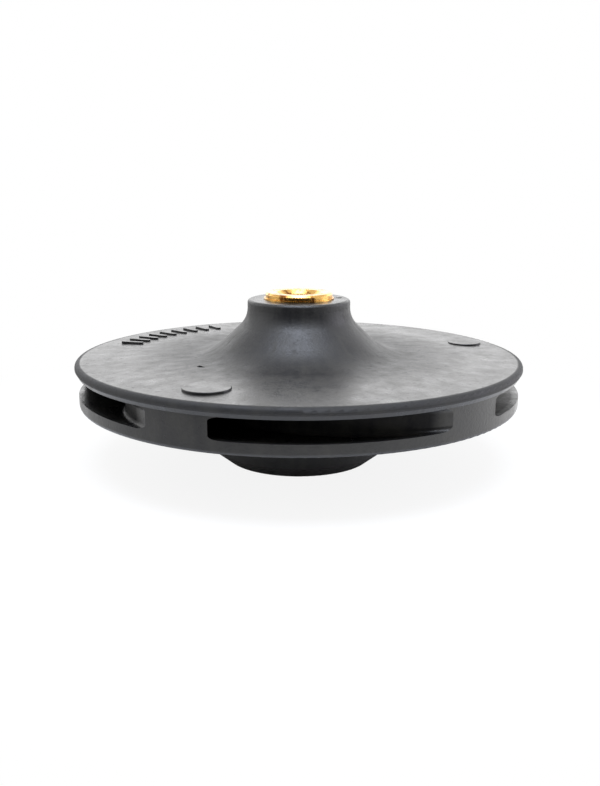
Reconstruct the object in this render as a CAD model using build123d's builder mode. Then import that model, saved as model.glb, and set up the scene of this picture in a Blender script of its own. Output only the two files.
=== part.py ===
from build123d import *
import os
from math import cos, degrees, hypot, radians, sin, tan

# Closed pump impeller, moulded in one piece around a threaded metal insert.
# The origin is on the axis, in the face of the eye ring that the impeller stands on.
# +Z runs along the axis to the hub. Angles are in degrees from +X, seen from the hub.
# Lengths are in millimetres.

# Shrouds and rim
impeller_diameter = 127.0
back_rim_thickness = 3.1
outlet_width = 5.7
front_rim_thickness = 3.3
front_shroud_wall = 3.2
rim_step = 0.9                  # the front rim and the vanes' tips are smaller than the back rim by this
back_edge_round = 1.2
front_edge_round = 1.0
crown_rise = 0.9                # from the rim to the hub, on the back shroud's outer face

# Eye
eye_diameter = 36.0
eye_ring_wall = 6.8
eye_ring_length = 18.3          # from the front rim's lower edge to the lip
lip_width = 2.7
lip_taper_height = 3.2
lip_round = 0.6
eye_ring_fillet = 4.0
eye_throat_round = 2.0
eye_passage_height = 10.5       # between the shrouds at the eye

# Vanes, each between a convex and a concave spiral
vane_count = 5
vane_rise_per_radian = 22.5     # radius gained for each radian of spiral
vane_tip_angle = -123.6         # where the first vane's convex side meets the rim
vane_tip_arc = 16.3             # degrees of rim that a vane's tip takes up
vane_root_arc = 11.0            # degrees that its inner end takes up
vane_inner_gap = 2.5            # from the eye to the vanes' inner ends
vane_root_fillet = 1.2
vane_nose_share = 0.3           # rounding of an inner end's corners, as a share of its width
spiral_steps = 12               # stretches between the points that guide a spiral

# Hub, with a nose that turns the water at the eye
hub_diameter = 29.4
hub_height = 16.25              # above the rim
hub_edge_round = 0.9
neck_fillet = 7.0
flare_height = 10.9             # where the flare's slope would meet the neck
flare_run = 10.4                # how far the slope reaches out from the neck
foot_fillet = 15.0
nose_base_diameter = 25.0
nose_tip_diameter = 18.0
nose_depth = 6.0
nose_tip_round = 4.0
nose_base_round = 2.0

# Threaded insert
collar_diameter = 19.1
collar_height = 1.9             # proud of the hub's face
collar_chamfer = 0.5
flange_diameter = 20.1
flange_height = 0.35            # proud of the hub's face
flange_depth = 0.9              # sunk in the hub's face
barrel_across_flats = 16.0
barrel_length = 19.0            # below the hub's face
groove_diameter = 14.0
groove_width = 3.0
thread_minor_diameter = 9.9
thread_depth = 17.0             # full thread, from the collar's face
mouth_diameter = 12.8
drill_point_angle = 118.0

# Marks of the mould on the back shroud and the hub
pad_diameters = (12.2, 9.9)
pad_height = 0.5
pad_edge_round = 0.2
pad_insets = (12.5, 9.4)        # from the rim to a pad's centre
pad_angles = (-115.9, 19.3)
tally_count = 9
tally_length = 7.2
tally_width = 1.5
tally_height = 0.6
tally_inset = 10.2              # from the rim to a bar's middle
tally_start = 122.2
tally_step = 5.1
gate_diameter = 2.8
gate_depth = 0.7
gate_taper = 30.0
gate_radius = 33.3
gate_angle = -141.0
vent_diameter = 1.9
vent_depth = 2.5
vent_land = 3.0                 # from the hub's edge to the vent's axis
vent_angle = 8.6

# Radii and levels that follow from them
cut_margin = 2.0                # how far a cutting shape runs past what it cuts
impeller_radius = impeller_diameter / 2
front_rim_radius = impeller_radius - rim_step
overrun_radius = impeller_radius + cut_margin
eye_radius = eye_diameter / 2
eye_ring_radius = eye_radius + eye_ring_wall
vane_inner_radius = eye_radius + vane_inner_gap
vane_end_radius = overrun_radius + cut_margin
hub_radius = hub_diameter / 2
flare_foot_radius = hub_radius + flare_run
tally_radius = impeller_radius - tally_inset
vent_radius = hub_radius - vent_land
thread_radius = thread_minor_diameter / 2
mouth_radius = mouth_diameter / 2

front_rim_low = eye_ring_length
front_rim_top = front_rim_low + front_rim_thickness
back_rim_low = front_rim_top + outlet_width
back_rim_middle = back_rim_low + back_rim_thickness / 2
back_rim_top = back_rim_low + back_rim_thickness
throat_level = back_rim_low - eye_passage_height
nose_level = back_rim_low - nose_depth
crown_face = back_rim_top + crown_rise
flare_top = back_rim_top + flare_height
hub_face = back_rim_top + hub_height
barrel_end = hub_face - barrel_length
collar_face = hub_face + collar_height
thread_end = collar_face - thread_depth
drill_point = thread_end - thread_radius / tan(radians(drill_point_angle / 2))


def front_inner_level(radius):
    """Height of the front shroud's inner face at a radius."""
    slope = (front_rim_top - throat_level) / (front_rim_radius - eye_radius)
    return throat_level + slope * (radius - eye_radius)


def crown_level(radius):
    """Height of the back shroud's outer face at a radius."""
    slope = crown_rise / (impeller_radius - flare_foot_radius)
    return back_rim_top + slope * (impeller_radius - radius)


def polar(radius, angle):
    """Point at a radius and an angle."""
    return (radius * cos(radians(angle)), radius * sin(radians(angle)))


def radius_of(point):
    """Distance of a point from the axis."""
    return hypot(point.X, point.Y)


def spiral(tip_angle, root_angle):
    """Points of a spiral whose radius grows evenly with its angle, from the inner end past the rim.

    A vane is thinner at its inner end, so the angle at which the spiral would cut the rim
    shifts from root_angle there to tip_angle at the rim.
    """
    points = []
    for step in range(spiral_steps + 1):
        radius = vane_inner_radius + (vane_end_radius - vane_inner_radius) * step / spiral_steps
        inward = (impeller_radius - radius) / (impeller_radius - vane_inner_radius)
        rim_angle = tip_angle + (root_angle - tip_angle) * inward
        turned = degrees((impeller_radius - radius) / vane_rise_per_radian)
        points.append(polar(radius, rim_angle - turned))
    return points


# The insert without its thread: a six-sided grooved barrel, a flange and a collar
with BuildPart() as insert_blank:
    with BuildSketch(Plane.XY.offset(barrel_end)):
        RegularPolygon(barrel_across_flats / 2, 6, major_radius=False)
    extrude(amount=barrel_length)
    with BuildSketch(Plane.XY.offset(barrel_end + (barrel_length - groove_width) / 2)):
        Circle(barrel_across_flats)
        Circle(groove_diameter / 2, mode=Mode.SUBTRACT)
    extrude(amount=groove_width, mode=Mode.SUBTRACT)
    with BuildSketch(Plane.XY.offset(hub_face - flange_depth)):
        Circle(flange_diameter / 2)
    extrude(amount=flange_depth + flange_height)
    with BuildSketch(Plane.XY.offset(hub_face)):
        Circle(collar_diameter / 2)
    extrude(amount=collar_height)
    chamfer(insert_blank.edges().group_by(Axis.Z)[-1], collar_chamfer)

# The insert with its blind hole at the thread's minor diameter, open at a countersunk mouth
with BuildPart() as brass_insert:
    add(insert_blank.part)
    with BuildSketch(Plane.XZ):
        with BuildLine():
            Polyline(
                (0, collar_face + cut_margin),
                (mouth_radius, collar_face + cut_margin),
                (mouth_radius, collar_face),
                (thread_radius, collar_face - (mouth_radius - thread_radius)),
                (thread_radius, thread_end),
                (0, drill_point),
                close=True,
            )
        make_face()
    revolve(axis=Axis.Z, mode=Mode.SUBTRACT)
brass_insert.part.label = "brass_insert"

# One vane seen along the axis, from its rounded inner end to past the rim
with BuildSketch() as vane_plan:
    root_lead = vane_tip_angle + (vane_tip_arc - vane_root_arc) / 2
    with BuildLine():
        convex_side = Spline(*spiral(vane_tip_angle, root_lead))
        concave_side = Spline(*spiral(vane_tip_angle + vane_tip_arc, root_lead + vane_root_arc))
        Line(convex_side @ 1, concave_side @ 1)
        inner_end = Line(convex_side @ 0, concave_side @ 0)
    make_face()
    nose_corners = vane_plan.vertices().sort_by_distance(inner_end @ 0.5)[:2]
    fillet(nose_corners, inner_end.length * vane_nose_share)

# The water's space: the eye, and the passages between the shrouds with the vanes left out.
# Rounding its edges along the vanes gives the fillets at the vanes' roots.
with BuildPart() as water_space:
    with BuildSketch(Plane.XZ) as water_section:
        with BuildLine():
            Polyline(
                (0, -cut_margin),
                (eye_radius, -cut_margin),
                (eye_radius, throat_level),
                (overrun_radius, front_inner_level(overrun_radius)),
                (overrun_radius, back_rim_low),
                (nose_base_diameter / 2, back_rim_low),
                (nose_tip_diameter / 2, nose_level),
                (0, nose_level),
                close=True,
            )
        make_face()
        for corner, size in (
            ((eye_radius, throat_level), eye_throat_round),
            ((nose_base_diameter / 2, back_rim_low), nose_base_round),
            ((nose_tip_diameter / 2, nose_level), nose_tip_round),
        ):
            fillet(water_section.vertices().sort_by_distance(corner)[0], size)
    revolve(axis=Axis.Z)
    with PolarLocations(0, vane_count):
        add(vane_plan.sketch)
    extrude(amount=back_rim_low + cut_margin, mode=Mode.SUBTRACT)
    vane_roots = water_space.edges().filter_by(Axis.Z, reverse=True).filter_by(
        lambda edge: vane_inner_radius - vane_inner_gap / 2 < radius_of(edge @ 0.5) < impeller_radius)
    fillet(vane_roots, vane_root_fillet)

# The moulding: shrouds, hub and eye ring as one turned shape, less the water's space and the insert
with BuildPart() as impeller_body:
    with BuildSketch(Plane.XZ) as outer_section:
        cone_level = front_inner_level(eye_ring_radius) - front_shroud_wall
        with BuildLine():
            Polyline(
                (0, 0),
                (eye_radius + lip_width, 0),
                (eye_ring_radius, lip_taper_height),
                (eye_ring_radius, cone_level),
                (front_rim_radius, front_rim_low),
                (front_rim_radius, back_rim_low),
                (impeller_radius, back_rim_middle),
                (impeller_radius, back_rim_top),
                (flare_foot_radius, crown_face),
                (hub_radius, flare_top),
                (hub_radius, hub_face),
                (0, hub_face),
                close=True,
            )
        make_face()
        for corner, size in (
            ((eye_radius + lip_width, 0), lip_round),
            ((eye_ring_radius, cone_level), eye_ring_fillet),
            ((front_rim_radius, front_rim_low), front_edge_round),
            ((impeller_radius, back_rim_top), back_edge_round),
            ((flare_foot_radius, crown_face), foot_fillet),
            ((hub_radius, flare_top), neck_fillet),
            ((hub_radius, hub_face), hub_edge_round),
        ):
            fillet(outer_section.vertices().sort_by_distance(corner)[0], size)
    revolve(axis=Axis.Z)
    add(water_space.part, mode=Mode.SUBTRACT)
    add(insert_blank.part, mode=Mode.SUBTRACT)

    # Raised ejector pads
    for pad_diameter, pad_inset, pad_angle in zip(pad_diameters, pad_insets, pad_angles):
        pad_radius = impeller_radius - pad_inset
        pad_face = crown_level(pad_radius) + pad_height
        with BuildSketch(Plane.XY.offset(back_rim_middle)):
            with Locations(polar(pad_radius, pad_angle)):
                Circle(pad_diameter / 2)
        extrude(amount=pad_face - back_rim_middle)
        pad_rim = impeller_body.edges().filter_by(GeomType.CIRCLE).filter_by(
            lambda edge: abs(edge.radius - pad_diameter / 2) < 0.01).filter_by_position(
            Axis.Z, pad_face - 0.01, pad_face + 0.01)
        fillet(pad_rim, pad_edge_round)

    # Row of raised tally bars
    tally_face = crown_level(tally_radius) + tally_height
    with BuildSketch(Plane.XY.offset(back_rim_middle)):
        with PolarLocations(tally_radius, tally_count, tally_start, tally_step * tally_count):
            SlotOverall(tally_length, tally_width)
    extrude(amount=tally_face - back_rim_middle)

    # Gate mark on the back shroud
    with BuildSketch(Plane.XY.offset(crown_level(gate_radius))):
        with Locations(polar(gate_radius, gate_angle)):
            Circle(gate_diameter / 2)
    extrude(amount=-gate_depth, taper=gate_taper, mode=Mode.SUBTRACT)

    # Vent beside the insert
    with BuildSketch(Plane.XY.offset(hub_face)):
        with Locations(polar(vent_radius, vent_angle)):
            Circle(vent_diameter / 2)
    extrude(amount=-vent_depth, mode=Mode.SUBTRACT)
impeller_body.part.label = "impeller_body"

os.makedirs("parts", exist_ok=True)
export_step(impeller_body.part, "parts/impeller_body.step")
export_step(brass_insert.part, "parts/brass_insert.step")
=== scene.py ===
import math
import bpy
from mathutils import Matrix, Vector

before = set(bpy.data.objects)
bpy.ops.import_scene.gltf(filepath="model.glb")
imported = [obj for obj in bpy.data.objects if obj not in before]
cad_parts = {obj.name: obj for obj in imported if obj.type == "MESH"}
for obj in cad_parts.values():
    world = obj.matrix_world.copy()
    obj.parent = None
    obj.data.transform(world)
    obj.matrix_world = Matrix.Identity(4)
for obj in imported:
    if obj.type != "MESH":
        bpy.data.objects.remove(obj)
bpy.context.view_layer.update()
print("frame loaded")


def linearColour(hexText):
    # an sRGB hex colour as linear red, green, blue and alpha
    parts = [int(hexText[i:i + 2], 16) / 255 for i in (1, 3, 5)]
    return [p / 12.92 if p <= 0.04045 else ((p + 0.055) / 1.055) ** 2.4 for p in parts] + [1.0]


def addNode(tree, kind, inputs=None, **settings):
    # one node with its settings; an input is a value, or another node's output to link
    node = tree.nodes.new(kind)
    for name, value in settings.items():
        setattr(node, name, value)
    for socket, value in (inputs or {}).items():
        if isinstance(value, bpy.types.NodeSocket):
            tree.links.new(value, node.inputs[socket])
        else:
            node.inputs[socket].default_value = value
    return node


def newMaterial(name):
    # an empty node material and its output node
    material = bpy.data.materials.new(name)
    material.use_nodes = True
    material.node_tree.nodes.clear()
    return material, material.node_tree, addNode(material.node_tree, "ShaderNodeOutputMaterial")


# The camera, at the viewing height and distance of a table-top product shot
cameraSet = {
    "lens": 42.53,            # mm, with the 36 mm sensor along the picture's height
    "distance": 0.26495,      # from the axis, along -Y
    "height": 0.08173,        # above the floor
    "pitchDown": 13.35,       # degrees
    "roll": 0.17,             # degrees
    "shift": 0.0017,
}


def makeCamera():
    camera = bpy.data.objects.new("camera", bpy.data.cameras.new("camera"))
    bpy.context.collection.objects.link(camera)
    camera.data.lens = cameraSet["lens"]
    camera.data.shift_x = cameraSet["shift"]
    camera.data.clip_start = 0.01
    tilt = Matrix.Rotation(math.radians(90 - cameraSet["pitchDown"]), 4, "X")
    roll = Matrix.Rotation(math.radians(cameraSet["roll"]), 4, "Z")
    place = Matrix.Translation((0, -cameraSet["distance"], cameraSet["height"]))
    camera.matrix_world = place @ tilt @ roll
    bpy.context.scene.camera = camera


makeCamera()
print("camera placed")


# Studio: a white floor and surround, soft boxes, and a black flag round the lens that paints shade into
# reflections
studio = {
    "floorSize": 4.0,
    "floorWhite": "#f4f4f4",
    "shadowShare": 0.12,             # of its true shading, that the floor under the object shows the lens
    "shadowReach": (0.06, 0.16),     # metres from the axis, between which that shading fades out
    "reflectedReach": (0.065, 0.10), # between these the floor in reflections turns from shaded to white
    "paintedRightGlow": 0.9,                # painted light: how much more the floor glows in reflections to the right, in place of the right lamp's pool of light
    "paintedRightReach": (-0.05, 0.16),     # metres along X, between which that painted glow grows
    "surround": 0.85,                # level of the surround as it lights matt surfaces
    "flagSize": (0.60, 0.20),
    "flagDistance": 0.205,
    "flagClear": 0.001,              # between the flag and the floor
    "flagShadeGrey": "#282828",
    # place, aim, width and height in metres, strength in watts, colour
    "lamps": {
        "topBox": ((0.0, -0.24, 0.72), (0.0, 0.0, 0.04), 0.56, 0.34, 7.2, "#e6eeff"),
        "backBox": ((0.0, 1.30, 0.60), (0.0, 0.0, 0.05), 2.6, 0.9, 10.5, "#ffffff"),
        "rightBox": ((0.75, 0.15, 0.25), (0.0, 0.0, 0.03), 0.4, 0.5, 1.8, "#f2f0ff"),
        "leftBox": ((-0.75, 0.05, 0.30), (0.0, 0.0, 0.03), 0.4, 0.5, 0.6, "#ffffff"),
    },
}


def flatSheet(name, corners, material):
    # a plain four-cornered sheet of the studio
    mesh = bpy.data.meshes.new(name)
    mesh.from_pydata(corners, [], [(0, 1, 2, 3)])
    mesh.materials.append(material)
    sheet = bpy.data.objects.new(name, mesh)
    bpy.context.collection.objects.link(sheet)
    return sheet


def makeFloor():
    # matt white paper, plain white to the lens but for the object's soft shadow. In reflections it glows
    # away from the object, and more to the right as a painted pool of light in place of the right lamp's
    material, tree, output = newMaterial("white paper, matt")
    rays = addNode(tree, "ShaderNodeLightPath")
    place = addNode(tree, "ShaderNodeTexCoord")
    fromAxis = addNode(tree, "ShaderNodeVectorMath", {0: place.outputs["Object"]}, operation="LENGTH")
    near, far = studio["shadowReach"]
    fade = addNode(tree, "ShaderNodeMapRange", {
        "Value": fromAxis.outputs["Value"], "From Min": near, "From Max": far,
        "To Min": 1 - studio["shadowShare"], "To Max": 1.0}, interpolation_type="SMOOTHSTEP")
    direct = addNode(tree, "ShaderNodeMath", {0: rays.outputs["Is Camera Ray"], 1: fade.outputs[0]},
                     operation="MULTIPLY")
    near, far = studio["reflectedReach"]
    mirrored = addNode(tree, "ShaderNodeMapRange", {
        "Value": fromAxis.outputs["Value"], "From Min": near, "From Max": far},
        interpolation_type="SMOOTHSTEP")
    seen = addNode(tree, "ShaderNodeMath", {
        0: rays.outputs["Is Glossy Ray"], 1: mirrored.outputs[0], 2: direct.outputs[0]},
        operation="MULTIPLY_ADD")
    paper = addNode(tree, "ShaderNodeBsdfDiffuse", {"Color": linearColour(studio["floorWhite"])})
    side = addNode(tree, "ShaderNodeSeparateXYZ", {0: place.outputs["Object"]})
    near, far = studio["paintedRightReach"]
    # painted light: in reflections the floor glows brighter towards the right, standing in for the right
    # lamp's pool of light
    lit = addNode(tree, "ShaderNodeMapRange", {
        "Value": side.outputs[0], "From Min": near, "From Max": far, "To Max": studio["paintedRightGlow"]})
    strength = addNode(tree, "ShaderNodeMath", {0: lit.outputs[0], 1: rays.outputs["Is Glossy Ray"], 2: 1.0},
                       operation="MULTIPLY_ADD")
    glow = addNode(tree, "ShaderNodeEmission", {"Color": (1, 1, 1, 1), "Strength": strength.outputs[0]})
    mix = addNode(tree, "ShaderNodeMixShader",
                  {0: seen.outputs[0], 1: paper.outputs[0], 2: glow.outputs[0]})
    tree.links.new(mix.outputs[0], output.inputs["Surface"])
    half = studio["floorSize"] / 2
    flatSheet("floor", [(-half, -half, 0), (half, -half, 0), (half, half, 0), (-half, half, 0)], material)


def makeFlag():
    # painted shade: a dark sheet that the lens looks past; only reflections show it, and it casts no shadow
    # and lights nothing
    material, tree, output = newMaterial("black flag, painted shade in reflections")
    cloth = addNode(tree, "ShaderNodeBsdfDiffuse", {"Color": linearColour(studio["flagShadeGrey"])})
    tree.links.new(cloth.outputs[0], output.inputs["Surface"])
    half, top, away = studio["flagSize"][0] / 2, studio["flagSize"][1], -studio["flagDistance"]
    foot = studio["flagClear"]
    flag = flatSheet("flag", [(-half, away, foot), (-half, away, top), (half, away, top), (half, away, foot)],
                     material)
    # painted shade: the flag shows in reflections only, never to the lens, to diffuse light or in shadows
    flag.visible_camera = flag.visible_diffuse = flag.visible_shadow = False


def makeSurround():
    # white to the lens and in reflections, a little less as a light
    world = bpy.data.worlds.new("white surround")
    bpy.context.scene.world = world
    world.use_nodes = True
    tree = world.node_tree
    tree.nodes.clear()
    output = addNode(tree, "ShaderNodeOutputWorld")
    rays = addNode(tree, "ShaderNodeLightPath")
    seen = addNode(tree, "ShaderNodeMath", {
        0: rays.outputs["Is Camera Ray"], 1: rays.outputs["Is Glossy Ray"]}, operation="MAXIMUM")
    through = addNode(tree, "ShaderNodeMath", {0: seen.outputs[0], 1: rays.outputs["Is Transmission Ray"]},
                      operation="MAXIMUM")
    level = addNode(tree, "ShaderNodeMapRange", {"Value": through.outputs[0], "To Min": studio["surround"],
                                                 "To Max": 1.0})
    white = addNode(tree, "ShaderNodeBackground", {"Color": (1, 1, 1, 1), "Strength": level.outputs[0]})
    tree.links.new(white.outputs[0], output.inputs["Surface"])


def makeLamps():
    for name, (place, target, width, height, watts, colour) in studio["lamps"].items():
        lamp = bpy.data.lights.new(name, "AREA")
        lamp.shape = "RECTANGLE"
        lamp.size, lamp.size_y = width, height
        lamp.energy = watts
        lamp.color = linearColour(colour)[:3]
        box = bpy.data.objects.new(name, lamp)
        bpy.context.collection.objects.link(box)
        box.visible_camera = False
        aim = (Vector(target) - Vector(place)).to_track_quat("-Z", "Y")
        box.matrix_world = Matrix.Translation(place) @ aim.to_matrix().to_4x4()


makeFloor()
makeFlag()
makeSurround()
makeLamps()
print("studio lit")


def placesOf(tree):
    # a point's place, its three parts, the same place at level 0, and its distance from the axis
    place = addNode(tree, "ShaderNodeTexCoord").outputs["Object"]
    axes = addNode(tree, "ShaderNodeSeparateXYZ", {0: place}).outputs
    flat = addNode(tree, "ShaderNodeCombineXYZ", {0: axes[0], 1: axes[1]}).outputs[0]
    radius = addNode(tree, "ShaderNodeVectorMath", {0: flat}, operation="LENGTH").outputs["Value"]
    return place, axes, flat, radius


# The moulding's finish. Lengths are in metres
mouldedPlastic = {
    "black": "#121214",
    "dullBlack": "#242320",
    "blackShare": (0.42, 0.66),      # cloud levels between which the black turns dull
    "roughness": (0.26, 0.40),
    "cloudRange": (0.36, 0.64),      # cloud levels that give the lowest and the highest roughness
    "flowShare": 0.45,               # of the flow marks in the cloud, the rest is mottle
    "hazeRadius": (0.0138, 0.0150, 0.030, 0.052),    # haze fades in and out between these round the hub
    "haze": 0.16,                    # roughness that it adds
    "edgeRadius": (0.0618, 0.0624),  # more of it comes in again between these, on the back rim's edge
    "edgeLevel": 0.0284,
    "edgeHaze": 0.36,
    "specular": 0.5,
    "ior": 1.5,
    "grainSize": 0.0007,             # real grain is about 0.1 mm, drawn coarser so that it shows
    "mottleSize": 0.0055,
    "scuffSize": 0.0016,
    "scuffRange": (0.55, 0.75),
    "scuffHaze": 0.14,               # roughness that a scuff adds
    "flowStretch": (150.0, 12.0),    # streaks for each metre of radius and for each radian
    "dimpleSpacing": 0.009,
    "dimpleShare": 0.13,             # of the spacing, that a dimple's radius takes up
    "bumpHeight": 0.00010,
    "bumpShares": (0.5, 0.8, 1.2),   # of the flow marks, the scuffs and the dimples, beside the grain
    "bumpStrength": 0.5,
    "passageRadius": (0.0605, 0.0620),    # the passages' painted shade fades out between these
    "passageLevels": (0.0150, 0.0274),
    "passageShadeShine": 0.12,            # share of the specular level that is left in the passages, cut back as painted shade
}


def makePlastic():
    # satin black with a moulded grain: grain breaks up the reflections, mottling and flow marks
    # cloud them, and the passages get painted shade: their specular level is cut so that they stay dark
    finish = mouldedPlastic
    material, tree, output = newMaterial("glass-filled black plastic, injection moulded")
    place, axes, flat, radius = placesOf(tree)

    grain = addNode(tree, "ShaderNodeTexNoise", {
        "Vector": place, "Scale": 1 / finish["grainSize"], "Detail": 2.0, "Roughness": 0.6}).outputs[0]
    mottle = addNode(tree, "ShaderNodeTexNoise", {
        "Vector": place, "Scale": 1 / finish["mottleSize"], "Detail": 5.0, "Roughness": 0.62,
        "Distortion": 0.4}).outputs[0]
    scuff = addNode(tree, "ShaderNodeTexNoise", {
        "Vector": place, "Scale": 1 / finish["scuffSize"], "Detail": 3.0, "Roughness": 0.7,
        "Distortion": 1.2}).outputs[0]

    # flow marks run round the axis: their place is outward direction * around, raised by radius * across
    across, around = finish["flowStretch"]
    outward = addNode(tree, "ShaderNodeVectorMath", {0: flat}, operation="NORMALIZE").outputs[0]
    stretched = addNode(tree, "ShaderNodeMath", {0: radius, 1: across}, operation="MULTIPLY").outputs[0]
    rise = addNode(tree, "ShaderNodeCombineXYZ", {2: stretched}).outputs[0]
    flowPlace = addNode(tree, "ShaderNodeVectorMath", {0: outward, 1: (around,) * 3, 2: rise},
                        operation="MULTIPLY_ADD").outputs[0]
    flow = addNode(tree, "ShaderNodeTexNoise", {
        "Vector": flowPlace, "Scale": 1.0, "Detail": 3.0, "Roughness": 0.55}).outputs[0]

    # roughness follows the cloud of mottle and flow marks, and is higher in the haze and on scuffs
    cloud = addNode(tree, "ShaderNodeMix", {0: finish["flowShare"], 2: mottle, 3: flow}).outputs[0]
    cloudLow, cloudHigh = finish["cloudRange"]
    low, high = finish["roughness"]
    rough = addNode(tree, "ShaderNodeMapRange", {
        "Value": cloud, "From Min": cloudLow, "From Max": cloudHigh,
        "To Min": low, "To Max": high}).outputs[0]
    onEdge = addNode(tree, "ShaderNodeMath", {0: axes[2], 1: finish["edgeLevel"]},
                     operation="GREATER_THAN").outputs[0]
    edgeHaze = addNode(tree, "ShaderNodeMath", {0: onEdge, 1: finish["edgeHaze"]},
                       operation="MULTIPLY").outputs[0]
    hubIn, hubOut, discIn, discOut = finish["hazeRadius"]
    edgeIn, edgeOut = finish["edgeRadius"]
    for start, end, change in ((hubIn, hubOut, finish["haze"]), (discIn, discOut, -finish["haze"]),
                               (edgeIn, edgeOut, edgeHaze)):
        step = addNode(tree, "ShaderNodeMapRange", {
            "Value": radius, "From Min": start, "From Max": end, "To Max": change},
            interpolation_type="SMOOTHSTEP").outputs[0]
        rough = addNode(tree, "ShaderNodeMath", {0: rough, 1: step}, operation="ADD").outputs[0]
    scuffLow, scuffHigh = finish["scuffRange"]
    scuffed = addNode(tree, "ShaderNodeMapRange", {
        "Value": scuff, "From Min": scuffLow, "From Max": scuffHigh,
        "To Max": finish["scuffHaze"]}).outputs[0]
    rough = addNode(tree, "ShaderNodeMath", {0: rough, 1: scuffed}, operation="ADD",
                    use_clamp=True).outputs[0]

    # painted shade: 1 in the passages and in the upper part of the eye, 0 elsewhere; the specular level is
    # cut there
    inner, outer = finish["passageRadius"]
    passage = addNode(tree, "ShaderNodeMapRange", {
        "Value": radius, "From Min": inner, "From Max": outer, "To Min": 1.0, "To Max": 0.0}).outputs[0]
    for bound, side in zip(finish["passageLevels"], ("GREATER_THAN", "LESS_THAN")):
        within = addNode(tree, "ShaderNodeMath", {0: axes[2], 1: bound}, operation=side).outputs[0]
        passage = addNode(tree, "ShaderNodeMath", {0: passage, 1: within}, operation="MULTIPLY").outputs[0]
    shineWithPassageShade = addNode(tree, "ShaderNodeMapRange", {
        "Value": passage, "To Min": finish["specular"],
        "To Max": finish["specular"] * finish["passageShadeShine"]}).outputs[0]

    shadeLow, shadeHigh = finish["blackShare"]
    shade = addNode(tree, "ShaderNodeMapRange", {
        "Value": cloud, "From Min": shadeLow, "From Max": shadeHigh}).outputs[0]
    colour = addNode(tree, "ShaderNodeMix", {
        0: shade, 6: linearColour(finish["black"]), 7: linearColour(finish["dullBlack"])},
        data_type="RGBA").outputs[2]

    # height = grain + shares of the flow marks and the scuffs, less a share of the dimples
    flowBump, scuffBump, dimpleBump = finish["bumpShares"]
    dimple = addNode(tree, "ShaderNodeTexVoronoi", {
        "Vector": place, "Scale": 1 / finish["dimpleSpacing"], "Randomness": 1.0}).outputs["Distance"]
    dent = addNode(tree, "ShaderNodeMapRange", {
        "Value": dimple, "From Max": finish["dimpleShare"], "To Min": -dimpleBump, "To Max": 0.0},
        interpolation_type="SMOOTHSTEP").outputs[0]
    relief = grain
    for mark, share in ((flow, flowBump), (scuff, scuffBump)):
        relief = addNode(tree, "ShaderNodeMath", {0: mark, 1: share, 2: relief},
                         operation="MULTIPLY_ADD").outputs[0]
    relief = addNode(tree, "ShaderNodeMath", {0: relief, 1: dent}, operation="ADD").outputs[0]
    bump = addNode(tree, "ShaderNodeBump", {
        "Height": relief, "Strength": finish["bumpStrength"], "Distance": finish["bumpHeight"]}).outputs[0]

    surface = addNode(tree, "ShaderNodeBsdfPrincipled", {
        "Base Color": colour, "Roughness": rough, "Specular IOR Level": shineWithPassageShade, "IOR": finish["ior"],
        "Normal": bump})
    tree.links.new(surface.outputs[0], output.inputs["Surface"])
    return material


# The insert's finish. Lengths are in metres
turnedBrass = {
    "yellow": "#dcae62",
    "tarnish": "#7a4a20",
    "stainSize": 0.0030,
    "stainRange": (0.50, 0.66),      # stain levels between which the yellow turns to tarnish
    "roughness": (0.16, 0.34),
    "roughRange": (0.35, 0.65),      # stain levels that give the lowest and the highest roughness
    "anisotropy": 0.3,
    "ringPitch": 0.00035,            # a real tool mark is about 0.1 mm wide, drawn coarser so that it shows
    "ringHeight": 0.000012,
    "ringStrength": 0.6,
    "threadPitch": 0.00127,          # 20 turns to the inch
    "threadHeight": 0.00055,
    "boreRadius": 0.0052,
}


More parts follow.
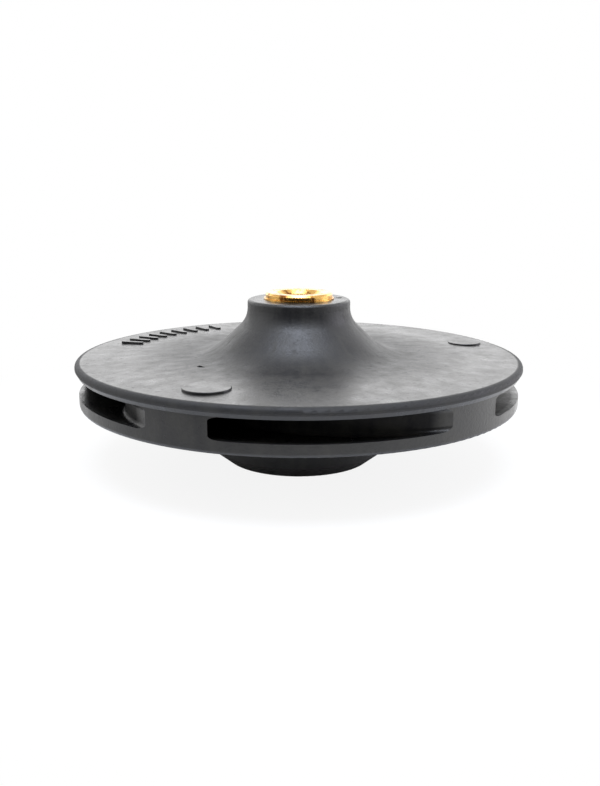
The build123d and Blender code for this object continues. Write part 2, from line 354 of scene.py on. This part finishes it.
def makeBrass():
    # bright turned brass: fine tool rings spread the highlights round the axis, stains brown it in
    # patches, and a spiral relief in the bore reads as its thread
    finish = turnedBrass
    material, tree, output = newMaterial("free-cutting brass, turned and tapped")
    place, axes, _, radius = placesOf(tree)
    stain = addNode(tree, "ShaderNodeTexNoise", {
        "Vector": place, "Scale": 1 / finish["stainSize"], "Detail": 4.0, "Roughness": 0.6}).outputs[0]
    stainLow, stainHigh = finish["stainRange"]
    stained = addNode(tree, "ShaderNodeMapRange", {
        "Value": stain, "From Min": stainLow, "From Max": stainHigh},
        interpolation_type="SMOOTHSTEP").outputs[0]
    colour = addNode(tree, "ShaderNodeMix", {
        0: stained, 6: linearColour(finish["yellow"]), 7: linearColour(finish["tarnish"])},
        data_type="RGBA").outputs[2]
    roughLow, roughHigh = finish["roughRange"]
    low, high = finish["roughness"]
    rough = addNode(tree, "ShaderNodeMapRange", {
        "Value": stain, "From Min": roughLow, "From Max": roughHigh,
        "To Min": low, "To Max": high}).outputs[0]

    # tool rings: height = sin(2 pi (radius + level) / pitch)
    along = addNode(tree, "ShaderNodeMath", {0: radius, 1: axes[2]}, operation="ADD").outputs[0]
    ringTurn = addNode(tree, "ShaderNodeMath", {0: along, 1: 2 * math.pi / finish["ringPitch"]},
                       operation="MULTIPLY").outputs[0]
    ring = addNode(tree, "ShaderNodeMath", {0: ringTurn}, operation="SINE").outputs[0]
    ringBump = addNode(tree, "ShaderNodeBump", {
        "Height": ring, "Strength": finish["ringStrength"], "Distance": finish["ringHeight"]}).outputs[0]

    # thread: height rises and falls once for each turn = level / pitch - angle / 2 pi, in the bore only
    angle = addNode(tree, "ShaderNodeMath", {0: axes[1], 1: axes[0]}, operation="ARCTAN2").outputs[0]
    levelTurn = addNode(tree, "ShaderNodeMath", {0: axes[2], 1: 1 / finish["threadPitch"]},
                        operation="MULTIPLY").outputs[0]
    turn = addNode(tree, "ShaderNodeMath", {0: angle, 1: -1 / (2 * math.pi), 2: levelTurn},
                   operation="MULTIPLY_ADD").outputs[0]
    ridge = addNode(tree, "ShaderNodeMath", {0: turn, 1: 0.5}, operation="PINGPONG").outputs[0]
    bore = addNode(tree, "ShaderNodeMath", {0: radius, 1: finish["boreRadius"]},
                   operation="LESS_THAN").outputs[0]
    thread = addNode(tree, "ShaderNodeMath", {0: ridge, 1: bore}, operation="MULTIPLY").outputs[0]
    bump = addNode(tree, "ShaderNodeBump", {
        "Height": thread, "Strength": 1.0, "Distance": finish["threadHeight"], "Normal": ringBump}).outputs[0]

    surface = addNode(tree, "ShaderNodeBsdfPrincipled", {
        "Base Color": colour, "Metallic": 1.0, "Roughness": rough, "Anisotropic": finish["anisotropy"],
        "Normal": bump})
    tree.links.new(surface.outputs[0], output.inputs["Surface"])
    return material


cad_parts["impeller_body"].material_slots[0].material = makePlastic()
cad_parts["brass_insert"].material_slots[0].material = makeBrass()
print("finishes made")

bpy.context.scene.view_settings.view_transform = "Standard"
